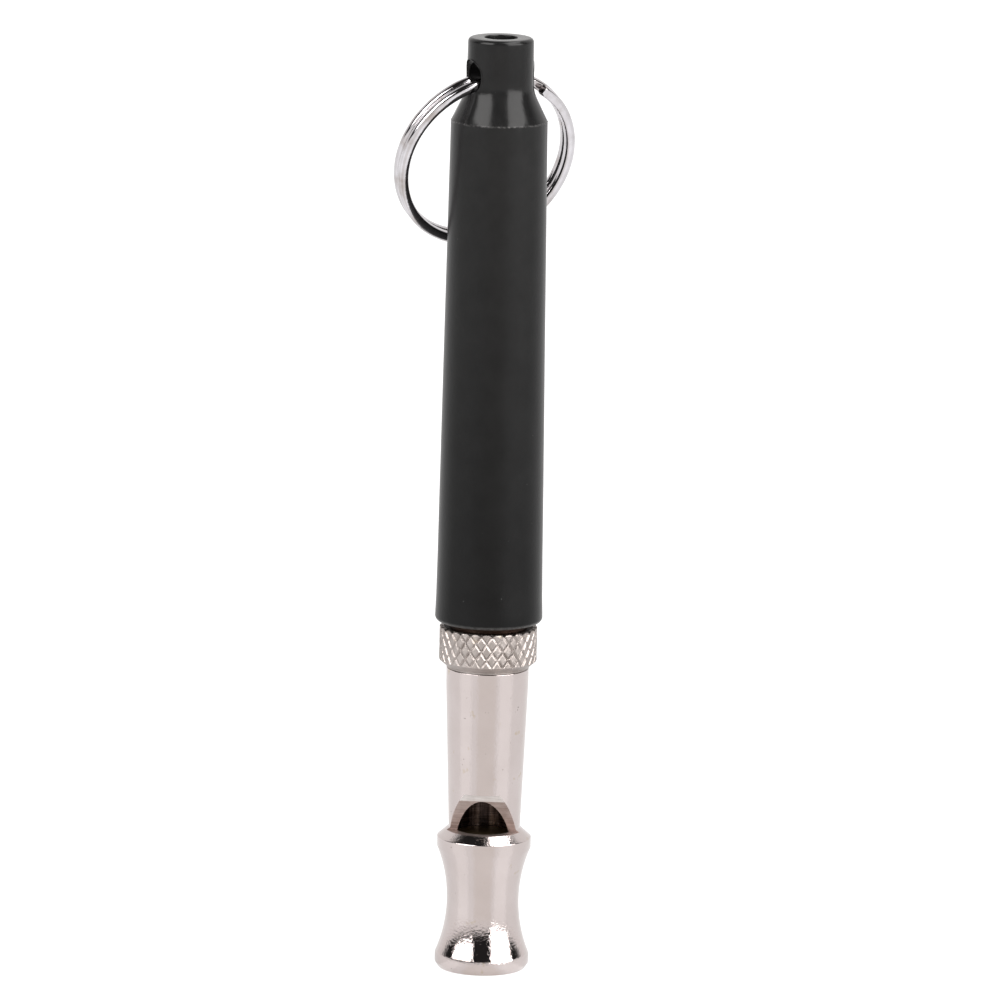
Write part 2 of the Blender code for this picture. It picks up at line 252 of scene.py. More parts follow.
def finish_mesh(shape, name):
    bmesh.ops.remove_doubles(shape, verts=shape.verts, dist=MERGE)
    bmesh.ops.dissolve_degenerate(shape, dist=MERGE, edges=shape.edges)
    bmesh.ops.recalc_face_normals(shape, faces=shape.faces)
    mesh = bpy.data.meshes.new(name)
    shape.to_mesh(mesh)
    shape.free()
    return mesh


def shade(item, angle_deg=SMOOTH_DEG):
    item.data.shade_smooth()
    item.data.set_sharp_from_angle(angle=math.radians(angle_deg))


def fillet(corners):
    """Rounds an outline. Each corner is (radius, height) or (radius, height, fillet)."""
    points = []
    count = len(corners)
    for index, corner in enumerate(corners):
        here = Vector(corner[:2])
        size = corner[2] if len(corner) > 2 else 0.0
        if not size or index in (0, count - 1):
            points.append(tuple(here))
            continue
        before = Vector(corners[index - 1][:2])
        after = Vector(corners[index + 1][:2])
        to_before = (before - here).normalized()
        to_after = (after - here).normalized()
        half = to_before.angle(to_after) / 2.0
        room = FILLET_SHARE * min((before - here).length, (after - here).length)
        back = min(size / math.tan(half), room)
        radius = back * math.tan(half)
        centre = here + (to_before + to_after).normalized() * (radius / math.sin(half))
        start = here + to_before * back - centre
        end = here + to_after * back - centre
        sweep = start.angle_signed(end)
        steps = max(3, math.ceil(abs(math.degrees(sweep)) / FILLET_STEP_DEG))
        for step in range(steps + 1):
            turn = Matrix.Rotation(-sweep * step / steps, 2)
            points.append(tuple(centre + turn @ start))
    return points


def split_long(points, longest):
    """Adds points, so that no stretch of the outline is longer than longest."""
    result = [points[0]]
    for (r0, z0), (r1, z1) in zip(points, points[1:]):
        parts = max(1, math.ceil(math.hypot(r1 - r0, z1 - z0) / longest))
        for part in range(1, parts + 1):
            share = part / parts
            result.append((r0 + (r1 - r0) * share, z0 + (z1 - z0) * share))
    return result


def arc_between(start, end, sagitta, count):
    """Points on a round arc from start to end that bows towards smaller radius."""
    (r0, z0), (r1, z1) = start, end
    half = math.hypot(r1 - r0, z1 - z0) / 2.0
    radius = (half * half + sagitta * sagitta) / (2.0 * sagitta)
    spread = math.asin(half / radius)
    middle_z = (z0 + z1) / 2.0
    centre_r = (r0 + r1) / 2.0 - sagitta + radius
    points = []
    for index in range(1, count):
        angle = spread * (1.0 - 2.0 * index / count)
        points.append((centre_r - radius * math.cos(angle), middle_z + radius * math.sin(angle)))
    return points


def grid_body(name, rows, steps, closed=False, wobble=None):
    """A round body from rows of (radius, height), each row a function of the step.

    wobble(angle, radius, height) gives a small change of radius, in millimetres.
    """
    shape = bmesh.new()
    grid = []
    for row in rows:
        ring = []
        for step in range(steps + 1):
            radius, height = row(step)
            angle = TURN * (step % steps) / steps
            if wobble and radius > 0.0:
                radius += wobble(angle, radius, height)
            point = (radius * MM * math.cos(angle), radius * MM * math.sin(angle), height * MM)
            ring.append(shape.verts.new(point))
        grid.append(ring)
    pairs = list(zip(grid, grid[1:]))
    if closed:
        pairs.append((grid[-1], grid[0]))
    for first, second in pairs:
        for step in range(steps):
            shape.faces.new((first[step], first[step + 1], second[step + 1], second[step]))
    return finish_mesh(shape, name)


def level(point):
    return lambda step: point


def turned(name, points, steps=ROUND_STEPS, closed=False, wobble=None):
    return grid_body(name, [level(point) for point in points], steps, closed, wobble)


def bake(item):
    """Replaces the object's mesh with its evaluated one, and drops its modifiers."""
    graph = bpy.context.evaluated_depsgraph_get()
    mesh = bpy.data.meshes.new_from_object(item.evaluated_get(graph))
    item.modifiers.clear()
    item.data = mesh


def combine(item, operation, others):
    for cutter in others:
        boolean = item.modifiers.new(operation.lower(), "BOOLEAN")
        boolean.operation = operation
        boolean.solver = "EXACT"
        boolean.object = cutter
    bake(item)
    for cutter in others:
        bpy.data.objects.remove(cutter, do_unlink=True)


def cut(item, *cutters):
    combine(item, "DIFFERENCE", cutters)


def unite(item, *others):
    combine(item, "UNION", others)


def box_mesh(name, size):
    shape = bmesh.new()
    bmesh.ops.create_cube(shape, size=1.0)
    bmesh.ops.scale(shape, vec=Vector(size) * MM, verts=shape.verts)
    return finish_mesh(shape, name)


# ---------------------------------------------------------------------------
# Material tools
# ---------------------------------------------------------------------------
BLANK = (0.0, 0.0, 0.0)
FULL = (1.0, 1.0, 1.0)


class Nodes:
    """A short way to write a Principled material as a graph."""

    def __init__(self, name):
        self.material = bpy.data.materials.new(name)
        self.material.use_nodes = True
        self.tree = self.material.node_tree
        self.shader = self.tree.nodes["Principled BSDF"]

    def add(self, kind, **values):
        node = self.tree.nodes.new(kind)
        for key, value in values.items():
            if hasattr(node, key):
                setattr(node, key, value)
            else:
                node.inputs[key.replace("_", " ")].default_value = value
        return node

    def link(self, output, target):
        self.tree.links.new(output, target)

    def place(self, scale=(1.0, 1.0, 1.0)):
        """Position in millimetres, stretched by scale."""
        coords = self.add("ShaderNodeTexCoord")
        mapping = self.add("ShaderNodeMapping")
        mapping.inputs["Scale"].default_value = [value / MM for value in scale]
        self.link(coords.outputs["Object"], mapping.inputs["Vector"])
        return mapping.outputs["Vector"]

    def noise(self, vector, scale, detail=4.0, roughness=0.5):
        node = self.add("ShaderNodeTexNoise", Scale=scale, Detail=detail, Roughness=roughness)
        self.link(vector, node.inputs["Vector"])
        return node.outputs["Fac"]

    def ramp(self, value, stops):
        node = self.add("ShaderNodeValToRGB")
        ends = node.color_ramp.elements
        while len(ends) < len(stops):
            ends.new(0.5)
        for end, (position, colour) in zip(ends, stops):
            end.position = position
            end.color = (*colour, 1.0)
        self.link(value, node.inputs["Fac"])
        return node.outputs["Color"]

    def span(self, value, low, high, from_low=0.0, from_high=1.0):
        node = self.add("ShaderNodeMapRange")
        node.inputs["From Min"].default_value = from_low
        node.inputs["From Max"].default_value = from_high
        node.inputs["To Min"].default_value = low
        node.inputs["To Max"].default_value = high
        self.link(value, node.inputs["Value"])
        return node.outputs["Result"]

    def blend(self, first, second, share):
        """A sum of two values, with this share of the first."""
        return self.math("ADD", self.math("MULTIPLY", first, share),
                         self.math("MULTIPLY", second, 1.0 - share))

    def math(self, operation, first, second=None):
        node = self.add("ShaderNodeMath", operation=operation)
        for socket, value in zip(node.inputs, (first, second)):
            if isinstance(value, (int, float)):
                socket.default_value = value
            elif value is not None:
                self.link(value, socket)
        return node.outputs["Value"]

    def mix(self, factor, first, second, blend="MIX"):
        """Mixes two colours. Each is an output or three numbers."""
        node = self.add("ShaderNodeMix", data_type="RGBA", blend_type=blend)
        if isinstance(factor, float):
            node.inputs["Factor"].default_value = factor
        else:
            self.link(factor, node.inputs["Factor"])
        sockets = [socket for socket in node.inputs if socket.type == "RGBA"]
        for socket, value in zip(sockets, (first, second)):
            if isinstance(value, tuple):
                socket.default_value = (*value, 1.0)
            else:
                self.link(value, socket)
        return next(out for out in node.outputs if out.type == "RGBA")

    def height(self):
        """The height of the point, in metres."""
        coords = self.add("ShaderNodeTexCoord")
        split = self.add("ShaderNodeSeparateXYZ")
        self.link(coords.outputs["Object"], split.inputs["Vector"])
        return split.outputs["Z"]

    def bump(self, heights, distance_mm):
        node = self.add("ShaderNodeBump")
        node.inputs["Distance"].default_value = distance_mm * MM
        self.link(heights, node.inputs["Height"])
        self.link(node.outputs["Normal"], self.shader.inputs["Normal"])

    def set(self, **values):
        for key, value in values.items():
            self.shader.inputs[key.replace("_", " ")].default_value = value


# Each pair is a material's darker and lighter colour
PLATE = ((0.596, 0.529, 0.514), (0.637, 0.568, 0.557))
WORN_PLATE = ((0.330, 0.292, 0.272), (0.440, 0.398, 0.378))
BRASS = ((0.20, 0.14, 0.06), (0.74, 0.56, 0.28))
STAIN = (0.560, 0.480, 0.400)
PIT = (0.200, 0.170, 0.160)
TURNING_LINES = 0.12          # height of the turning lines, as a share of the orange peel
EDGE_OF_FACET = 0.02          # half the soft edge of the flank's bright top
LIP_SHEEN_DEPTHS = (0.25, 0.10)   # the lip's painted reflection is full below the first, and gone above the second
FLASH_REACH = (0.03, 0.10)    # the flash line fades out between these distances


def nickel_material(name, tones, roughness, peel_mm):
    """Polished nickel plate with an orange-peel surface, turning lines, pits and stains."""
    nodes = Nodes(name)
    nodes.set(Metallic=1.0)
    place = nodes.place()
    clouds = nodes.noise(place, 0.35, 3.0)
    plate = nodes.ramp(clouds, [(0.30, tones[0]), (0.70, tones[1])])
    stains = nodes.ramp(nodes.noise(place, 0.9, 3.0, 0.5), [(0.66, BLANK), (0.74, FULL)])
    pits = nodes.ramp(nodes.noise(place, 3.4, 2.0, 0.5), [(0.745, BLANK), (0.775, FULL)])
    plate = nodes.mix(stains, plate, STAIN)
    plate = nodes.mix(pits, plate, PIT)
    nodes.link(plate, nodes.shader.inputs["Base Color"])
    rough = nodes.span(clouds, roughness * 0.7, roughness * 1.4)
    nodes.link(rough, nodes.shader.inputs["Roughness"])
    lines = nodes.noise(nodes.place((0.15, 0.15, 9.0)), 1.0, 3.0)
    peel = nodes.noise(place, 5.0, 2.0, 0.6)
    nodes.bump(nodes.math("ADD", nodes.math("MULTIPLY", lines, TURNING_LINES), peel), peel_mm)
    return nodes.material


def milled_material():
    """The window's cut flank: duller and tan in the tool marks, brighter near its top."""
    nodes = Nodes("milled_nickel")
    nodes.set(Metallic=1.0)
    lines = nodes.noise(nodes.place((0.4, 0.4, 11.0)), 1.0, 5.0, 0.6)
    clouds = nodes.noise(nodes.place(), 1.2, 3.0)
    mixed = nodes.blend(lines, clouds, 0.65)
    flank = nodes.ramp(mixed, [(0.30, (0.250, 0.195, 0.175)), (0.50, (0.430, 0.355, 0.330)),
                               (0.72, (0.580, 0.500, 0.475))])
    facet = nodes.ramp(mixed, [(0.30, (0.54, 0.50, 0.48)), (0.60, (0.80, 0.77, 0.76))])
    above = nodes.span(nodes.height(), 0.0, 1.0,
                       (WINDOW_FACET_Z - EDGE_OF_FACET) * MM, (WINDOW_FACET_Z + EDGE_OF_FACET) * MM)
    nodes.link(nodes.mix(above, flank, facet), nodes.shader.inputs["Base Color"])
    nodes.link(nodes.span(lines, 0.38, 0.52), nodes.shader.inputs["Roughness"])
    nodes.bump(lines, 0.016)
    return nodes.material


def bore_material():
    """The drilled bore: dark and brownish, drawn lengthwise, with scratches round it."""
    nodes = Nodes("drilled_bore")
    nodes.set(Metallic=1.0)
    drawn = nodes.noise(nodes.place((2.4, 2.4, 0.12)), 1.0, 4.0, 0.6)
    rings = nodes.noise(nodes.place((0.5, 0.5, 8.0)), 1.0, 4.0, 0.6)
    mixed = nodes.blend(drawn, rings, 0.6)
    colour = nodes.ramp(mixed, [(0.42, (0.030, 0.020, 0.018)), (0.56, (0.110, 0.082, 0.075)),
                                (0.70, (0.360, 0.300, 0.280))])
    nodes.link(colour, nodes.shader.inputs["Base Color"])
    nodes.link(nodes.span(rings, 0.22, 0.40), nodes.shader.inputs["Roughness"])
    nodes.bump(rings, 0.020)
    return nodes.material


def shaded_seat_material():
    """The nut's top face and spigot: painted dark brown, as painted shade and a painted reflection of
    the cover's dark underside.
    """
    nodes = Nodes("painted_shade_seat")
    nodes.set(Metallic=1.0)
    clouds = nodes.noise(nodes.place((0.6, 0.6, 4.0)), 1.0, 4.0, 0.6)
    colour = nodes.ramp(clouds, [(0.35, (0.022, 0.012, 0.009)), (0.70, (0.075, 0.050, 0.040))])
    nodes.link(colour, nodes.shader.inputs["Base Color"])
    nodes.link(nodes.span(clouds, 0.40, 0.60), nodes.shader.inputs["Roughness"])
    nodes.bump(clouds, 0.010)
    return nodes.material


def brass_material(name, tone):
    """Bare turned brass, dulled, with fine turning lines. A lower tone is darker."""
    nodes = Nodes(name)
    nodes.set(Metallic=1.0)
    lines = nodes.noise(nodes.place((0.3, 0.3, 11.0)), 1.0, 4.0, 0.6)
    clouds = nodes.noise(nodes.place(), 0.8, 4.0)
    mixed = nodes.blend(lines, clouds, 0.4)
    low, high = (tuple(value * tone for value in colour) for colour in BRASS)
    nodes.link(nodes.ramp(mixed, [(0.25, low), (0.60, high)]), nodes.shader.inputs["Base Color"])
    nodes.link(nodes.span(mixed, 0.42, 0.24), nodes.shader.inputs["Roughness"])
    nodes.bump(lines, 0.010)
    return nodes.material


def plastic_material():
    """Black moulded plastic: satin on the sleeve, glossier above, with painted shade towards the lip and
    a painted reflection of the floor on the lip.
    """
    nodes = Nodes("black_plastic")
    place = nodes.place()
    height = nodes.height()
    shoulder = SLEEVE_WALL[-1][1]
    neck = nodes.span(height, 0.0, 1.0, (shoulder - 0.1) * MM, (shoulder + 0.1) * MM)
    lip_sheen_heights = [(COVER_LIP_Z - depth) * MM for depth in LIP_SHEEN_DEPTHS]
    lip = nodes.span(height, 1.0, 0.0, *lip_sheen_heights)
    from_shoulder = nodes.math("ABSOLUTE", nodes.math("SUBTRACT", height, shoulder * MM))
    flash = nodes.span(from_shoulder, 1.0, 0.0, *(reach * MM for reach in FLASH_REACH))
    clouds = nodes.noise(place, 0.5, 5.0, 0.6)
    fine = nodes.noise(place, 4.0, 3.0, 0.6)
    # The base colour is painted shade: darker towards the lip, lighter towards the shoulder.
    dark = nodes.ramp(clouds, [(0.30, (0.0014, 0.0014, 0.0015)), (0.70, (0.0030, 0.0030, 0.0031))])
    painted_light_top = nodes.ramp(clouds, [(0.30, (0.0074, 0.0073, 0.0074)), (0.70, (0.0108, 0.0107, 0.0108))])
    fade = nodes.span(height, 0.0, 1.0, COVER_BOTTOM_Z * MM, shoulder * MM)
    base = nodes.mix(fade, dark, painted_light_top)
    specks = nodes.ramp(nodes.noise(place, 2.6, 2.0, 0.5), [(0.775, BLANK), (0.800, (0.05, 0.05, 0.05))])
    base = nodes.mix(1.0, base, specks, "ADD")
    # The lip's rounding is painted lighter grey: a painted reflection of the floor.
    painted_lip_sheen = nodes.ramp(fine, [(0.35, (0.022, 0.021, 0.021)), (0.75, (0.070, 0.068, 0.066))])
    base = nodes.mix(lip, base, painted_lip_sheen)
    white = nodes.ramp(fine, [(0.45, (0.014, 0.014, 0.014)), (0.66, (0.075, 0.073, 0.072))])
    base = nodes.mix(flash, base, white)
    nodes.link(base, nodes.shader.inputs["Base Color"])
    satin = nodes.span(clouds, 0.26, 0.34)
    gloss = nodes.span(clouds, 0.15, 0.20)
    rough = nodes.add("ShaderNodeMix", data_type="FLOAT")
    nodes.link(neck, rough.inputs["Factor"])
    nodes.link(satin, rough.inputs["A"])
    nodes.link(gloss, rough.inputs["B"])
    nodes.link(rough.outputs["Result"], nodes.shader.inputs["Roughness"])
    nodes.set(Specular_IOR_Level=0.19)
    nodes.bump(nodes.noise(place, 3.0, 4.0, 0.6), 0.010)
    return nodes.material


def wire_material():
    """Bright nickel-plated spring wire, with drawing lines and thin tarnish."""
    nodes = Nodes("ring_steel")
    nodes.set(Metallic=1.0)
    place = nodes.place()
    clouds = nodes.noise(place, 0.6, 4.0)
    grain = nodes.noise(place, 5.0, 3.0, 0.6)
    colour = nodes.ramp(clouds, [(0.32, (0.46, 0.42, 0.41)), (0.50, (0.62, 0.60, 0.62)),
                                 (0.70, (0.72, 0.70, 0.73))])
    nodes.link(colour, nodes.shader.inputs["Base Color"])
    nodes.link(nodes.span(grain, 0.04, 0.10), nodes.shader.inputs["Roughness"])
    nodes.bump(grain, 0.006)
    return nodes.material


# ---------------------------------------------------------------------------
# Barrel
# ---------------------------------------------------------------------------
def window_cutter():
    """The space in front of the window's flank, with the milling marks as a fine saw."""
    corners = [(WINDOW_FLOOR_FRONT, WINDOW_FLOOR_Z), (WINDOW_TOP_FRONT, WINDOW_TOP_Z)]
    outline = split_long(corners, MILL_MARK_STEP)
    for index in range(1, len(outline) - 1):
        front, height = outline[index]
        outline[index] = (front + (MILL_MARK_DEPTH if index % 2 else -MILL_MARK_DEPTH), height)
    outline += [(WINDOW_OPEN_FRONT, WINDOW_TOP_Z), (WINDOW_OPEN_FRONT, WINDOW_FLOOR_Z)]
    shape = bmesh.new()
    sides = []
    for x in (-WINDOW_WIDTH / 2.0, WINDOW_WIDTH / 2.0):
        sides.append([shape.verts.new((x * MM, -front * MM, height * MM)) for front, height in outline])
    for side in sides:
        shape.faces.new(side)
    for index in range(len(outline)):
        after = (index + 1) % len(outline)
        shape.faces.new((sides[0][index], sides[0][after], sides[1][after], sides[1][index]))
    return new_object("window_cutter", finish_mesh(shape, "window_cutter"))


def thread_radius(turns, root, crest):
    part = abs((turns + 0.5) % 1.0 - 0.5)
    crest_half = CREST_SHARE / 2.0
    root_start = 0.5 - ROOT_SHARE / 2.0
    if part <= crest_half:
        return crest
    if part >= root_start:
        return root
    return crest + (root - crest) * (part - crest_half) / (root_start - crest_half)


def thread_rows(low, high, root, crest, steps):
    """Rows that follow a right-hand helix and stop flat at low and at high."""
    lines = (-0.5 + ROOT_SHARE / 2.0, -CREST_SHARE / 2.0, CREST_SHARE / 2.0,
             0.5 - ROOT_SHARE / 2.0)
    first_turn = math.floor(low / PITCH) - 2
    last_turn = math.ceil(high / PITCH) + 1

    def make_row(start):
        def row(step):
            height = min(max((start + step / steps) * PITCH, low), high)
            return thread_radius(height / PITCH - step / steps, root, crest), height
        return row

    return [make_row(turn + line) for turn in range(first_turn, last_turn + 1) for line in lines]


def tap_cutter():
    """The barrel's tapped hole, from its floor to above the tube's end."""
    root = SCREW_ROOT_R + THREAD_CLEARANCE
    crest = SCREW_CREST_R + THREAD_CLEARANCE
    above = BARREL_TOP_Z + PITCH
    rows = [level((0.0, TAP_BOTTOM_Z)), level((root, TAP_BOTTOM_Z))]
    rows += thread_rows(TAP_BOTTOM_Z, above, root, crest, TAP_STEPS)
    rows += [level((root, above)), level((0.0, above))]
    return new_object("tap_cutter", grid_body("tap_cutter", rows, TAP_STEPS))


# Places of the barrel's second and third material, and of the nut's second
MILLED_INDEX = 1
BORE_INDEX = 2
SEAT_INDEX = 1
FACE_MARGIN = 0.02            # how near to a surface a face has to be to take its material


def build_barrel(nickel, milled, bore):
    waist = arc_between((BAR_R, RIDGE_LOW_Z), (BAR_R, MOUTH_RIM_Z), BAR_R - WAIST_R, WAIST_STEPS)
    outer = fillet([
        (BORE_R + BORE_CHAMFER, BARREL_TOP_Z),
        (TUBE_TOP_R, BARREL_TOP_Z, TUBE_END_ROUND),
        (TUBE_TOP_R, TUBE_STRAIGHT_Z),
        (TUBE_FOOT_R, TUBE_FOOT_Z, TUBE_FOOT_ROUND),
        (BAR_R, RIDGE_TOP_Z, RIDGE_ROUND),
        (BAR_R, RIDGE_LOW_Z),
    ])
    lower = fillet([
        (BAR_R, MOUTH_RIM_Z),
        (BAR_R, MOUTH_CHAMFER_Z, MOUTH_RIM_ROUND),
        (MOUTH_FACE_R, 0.0, MOUTH_FACE_ROUND),
        (BORE_R + MOUTH_BORE_EDGE, 0.0),
    ])
    inner = [(BORE_R, MOUTH_BORE_EDGE), (BORE_R, BARREL_TOP_Z - BORE_CHAMFER)]
    points = split_long(outer + waist + lower, BARREL_STRETCH)
    points += split_long(inner, BORE_STRETCH)
    mesh = turned("barrel_body", points, closed=True)
    barrel = new_object("barrel_body", mesh, nickel, milled, bore)
    for face in barrel.data.polygons:
        centre = face.center
        if math.hypot(centre.x, centre.y) < (BORE_R + FACE_MARGIN) * MM:
            face.material_index = BORE_INDEX
    cutter = window_cutter()
    tap = tap_cutter()
    for item, slot_index in ((cutter, MILLED_INDEX), (tap, BORE_INDEX)):
        for material in (nickel, milled, bore):
            item.data.materials.append(material)
        for face in item.data.polygons:
            face.material_index = slot_index
    cut(barrel, cutter, tap)
    shade(barrel)
    return barrel


def build_plug(material):
    points = fillet([
        (0.0, PLUG_TOP_Z),
        (PLUG_R, PLUG_TOP_Z, PLUG_ROUND),
        (PLUG_R, 0.0, PLUG_ROUND),
        (0.0, 0.0),
    ])
    plug = new_object("fipple_plug_body", turned("fipple_plug_body", points, PLUG_STEPS), material)
    size = (4.0 * PLUG_R, WINDWAY_CUTTER_DEPTH, 3.0 * PLUG_TOP_Z)
    cutter = new_object("windway_cutter", box_mesh("windway_cutter", size))
    slope = Matrix.Rotation(math.radians(WINDWAY_SLOPE_DEG), 4, "X")
    cutter.data.transform(slope @ Matrix.Translation((0.0, -WINDWAY_CUTTER_DEPTH / 2.0 * MM, 0.0)))
    cutter.location = (0.0, WINDWAY_FLAT_Y * MM, 0.0)
    bpy.context.view_layer.update()
    cut(plug, cutter)
    shade(plug)
    return plug


# ---------------------------------------------------------------------------
# Lock nut and tuning screw
# ---------------------------------------------------------------------------
def groove(step, steps, height, sign):
    """The depth of one family of knurl grooves at a place on the nut."""
    turns = DIAMONDS_ROUND * step / steps
    rise = (height - NUT_CHAMFER_TOP_Z) * DIAMONDS_HIGH / KNURL_HEIGHT
    line = turns + sign * rise
    slope = math.hypot(DIAMONDS_ROUND / (TURN * KNURL_R), DIAMONDS_HIGH / KNURL_HEIGHT)
    distance = abs(line - round(line)) / slope
    share = max(0.0, 1.0 - distance / (GROOVE_WIDTH / 2.0))
    return GROOVE_DEPTH * share


def knurl_wall(steps, height):
    """One row of the knurled wall, from the foot's chamfer to the notched top edge."""
    chamfer = max(0.0, (height - NUT_BOTTOM_Z) / (NUT_CHAMFER_TOP_Z - NUT_BOTTOM_Z))
    limit = NUT_FOOT_R + (KNURL_R - NUT_FOOT_R) * min(1.0, chamfer)
    limit = min(limit, KNURL_R - max(0.0, height - NUT_TOP_Z + NUT_TOP_CHAMFER))

    def row(step):
        depth = max(groove(step, steps, height, 1), groove(step, steps, height, -1))
        angle = TURN * (step % steps) / steps
        round_grain, along_grain = KNURL_GRAIN
        spot = Vector((math.cos(angle) * round_grain, math.sin(angle) * round_grain,
                       height * along_grain))
        burr = KNURL_BURR * noise.noise(spot)
        near_top = max(0.0, 1.0 - (NUT_TOP_Z - height) / KNURL_EDGE)
        notch = KNURL_NOTCH * depth * near_top
        uneven = 1.0 + GROOVE_UNEVEN * noise.noise(spot * UNEVEN_GRAIN)
        return min(limit, KNURL_R - depth * uneven + burr), height - notch
    return row


def build_nut(material, seat):
    steps = DIAMONDS_ROUND * STEPS_PER_DIAMOND
    foot = BARREL_TOP_Z + SEAM_SHOWN
    rows = [level((NUT_BORE_R, foot)), level((NUT_FOOT_R - NUT_FOOT_EDGE, foot))]
    for index in range(KNURL_ROWS + 1):
        height = foot + KNURL_START + (NUT_TOP_Z - foot - KNURL_START) * index / KNURL_ROWS
        rows.append(knurl_wall(steps, height))
    spigot = fillet([
        (KNURL_R - SEAT_EDGE, NUT_TOP_Z),
        (SPIGOT_R, NUT_TOP_Z),
        (SPIGOT_R, SPIGOT_TOP_Z - SPIGOT_CHAMFER, SPIGOT_ROUND),
        (SPIGOT_R - SPIGOT_CHAMFER, SPIGOT_TOP_Z, SPIGOT_ROUND),
        (NUT_BORE_R + NUT_BORE_CHAMFER, SPIGOT_TOP_Z),
        (NUT_BORE_R, SPIGOT_TOP_Z - NUT_BORE_CHAMFER),
    ])
    rows += [level(point) for point in spigot]
    mesh = grid_body("lock_nut_body", rows, steps, closed=True)
    nut = new_object("lock_nut_body", mesh, material, seat)
    # The top face and the spigot take the painted shade under the cover.
    for face in nut.data.polygons:
        centre = face.center
        inside = math.hypot(centre.x, centre.y) < (KNURL_R - SEAT_SHADE_EDGE) * MM
        on_seat = inside and centre.z > (NUT_TOP_Z - FACE_MARGIN / 2.0) * MM
        face.material_index = SEAT_INDEX if on_seat else 0
    shade(nut, NUT_SMOOTH_DEG)
    return nut


def build_screw(material):
    tip = fillet([
        (0.0, PISTON_TIP_Z),
        (PISTON_R, PISTON_TIP_Z, TIP_ROUND),
        (PISTON_R, SCREW_THREAD_BOTTOM_Z - THREAD_RUNOUT),
        (SCREW_ROOT_R, SCREW_THREAD_BOTTOM_Z),
    ])
    head = fillet([
        (SCREW_ROOT_R, SCREW_THREAD_TOP_Z),
        (SCREW_ROOT_R, HEAD_BOTTOM_Z),
        (HEAD_R - HEAD_CHAMFER, HEAD_BOTTOM_Z, HEAD_UNDER_ROUND),
        (HEAD_R, HEAD_BOTTOM_Z + HEAD_CHAMFER, HEAD_ROUND),
        (HEAD_R, HEAD_TOP_Z - HEAD_CHAMFER, HEAD_ROUND),
        (HEAD_R - HEAD_CHAMFER, HEAD_TOP_Z, HEAD_ROUND),
        (0.0, HEAD_TOP_Z),
    ])
    rows = [level(point) for point in tip]
    rows += thread_rows(SCREW_THREAD_BOTTOM_Z, SCREW_THREAD_TOP_Z,
                        SCREW_ROOT_R, SCREW_CREST_R, THREAD_STEPS)
    rows += [level(point) for point in head]
    mesh = grid_body("tuning_screw_body", rows, THREAD_STEPS)
    screw = new_object("tuning_screw_body", mesh, material)
    size = (3.0 * HEAD_R, SLOT_WIDTH, 2.0 * SLOT_DEPTH)
    cutter = new_object("slot_cutter", box_mesh("slot_cutter", size))
    cutter.location = (0.0, 0.0, HEAD_TOP_Z * MM)
    bpy.context.view_layer.update()
    cut(screw, cutter)
    shade(screw)
    return screw


# ---------------------------------------------------------------------------
# Cover
# ---------------------------------------------------------------------------
def cover_wobble(angle, radius, height):
    """Faint sink and flow unevenness of the moulding, and flash at the shoulder."""
    round_grain, along_grain = SINK_GRAIN
    spot = Vector((math.cos(angle) * round_grain, math.sin(angle) * round_grain,
                   height * along_grain))
    change = SINK_DEPTH * noise.noise(spot)
    shoulder = SLEEVE_WALL[-1][1]
    near = math.exp(-((height - shoulder) / FLASH_SPREAD) ** 2)
    fine = Vector((math.cos(angle) * FLASH_GRAIN, math.sin(angle) * FLASH_GRAIN, 3.0))
    change += near * FLASH_DEPTH * max(0.0, noise.noise(fine) + FLASH_SHARE)
    outside = radius > CAVITY_R + 0.3 or height > CONE_TOP_Z
    return change if outside else 0.0


def hole_cutter():
    """The cross hole through the neck, with a countersink at each end."""
    wide = HOLE_R + HOLE_COUNTERSINK
    surface = math.sqrt(NECK_FOOT_R ** 2 - HOLE_R ** 2)
    inner = surface - HOLE_COUNTERSINK
    outer = 2.0 * NECK_FOOT_R
    points = [(0.0, outer), (wide, outer), (wide, surface), (HOLE_R, inner),
              (HOLE_R, -inner), (wide, -surface), (wide, -outer), (0.0, -outer)]
    cutter = new_object("hole_cutter", turned("hole_cutter", points, HOLE_STEPS))
    yaw = Matrix.Rotation(math.radians(HOLE_YAW_DEG), 4, "Z")
    along_x = Matrix.Rotation(math.radians(90.0), 4, "Y")
    cutter.data.transform(Matrix.Translation((0.0, 0.0, HOLE_Z * MM)) @ yaw @ along_x)
    return cutter


def hole_burr(side):
    """The burr that stands round one end of the cross hole, along the neck's surface."""
    radius = HOLE_R + HOLE_COUNTERSINK + BURR_OUT * HOLE_BURR
    shape = bmesh.new()
    rings = []
    for step in range(BURR_STEPS):
        turn = TURN * step / BURR_STEPS
        across = radius * math.cos(turn)
        rise = radius * math.sin(turn)
        surface = math.sqrt(NECK_FOOT_R ** 2 - across ** 2)
        middle = Vector((side * (surface - BURR_SUNK), across, rise))
        spoke = Vector((0.0, math.cos(turn), math.sin(turn)))
        outward = Vector((side, 0.0, 0.0))
        uneven = noise.noise(Vector((across, rise, side)) * BURR_GRAIN)
        size = HOLE_BURR * (1.0 + BURR_UNEVEN * uneven)
        ring = []
        for index in range(BURR_SIDES):
            part = TURN * index / BURR_SIDES
            point = middle + (spoke * math.cos(part) + outward * math.sin(part)) * size
            ring.append(shape.verts.new(point * MM))
        rings.append(ring)
    for index, ring in enumerate(rings):
        following = rings[(index + 1) % BURR_STEPS]
        for low in range(BURR_SIDES):
            high = (low + 1) % BURR_SIDES
            shape.faces.new((ring[low], ring[high], following[high], following[low]))
    burr = new_object("hole_burr", finish_mesh(shape, "hole_burr"))
    yaw = Matrix.Rotation(math.radians(HOLE_YAW_DEG), 4, "Z")
    burr.data.transform(Matrix.Translation((0.0, 0.0, HOLE_Z * MM)) @ yaw)
    return burr


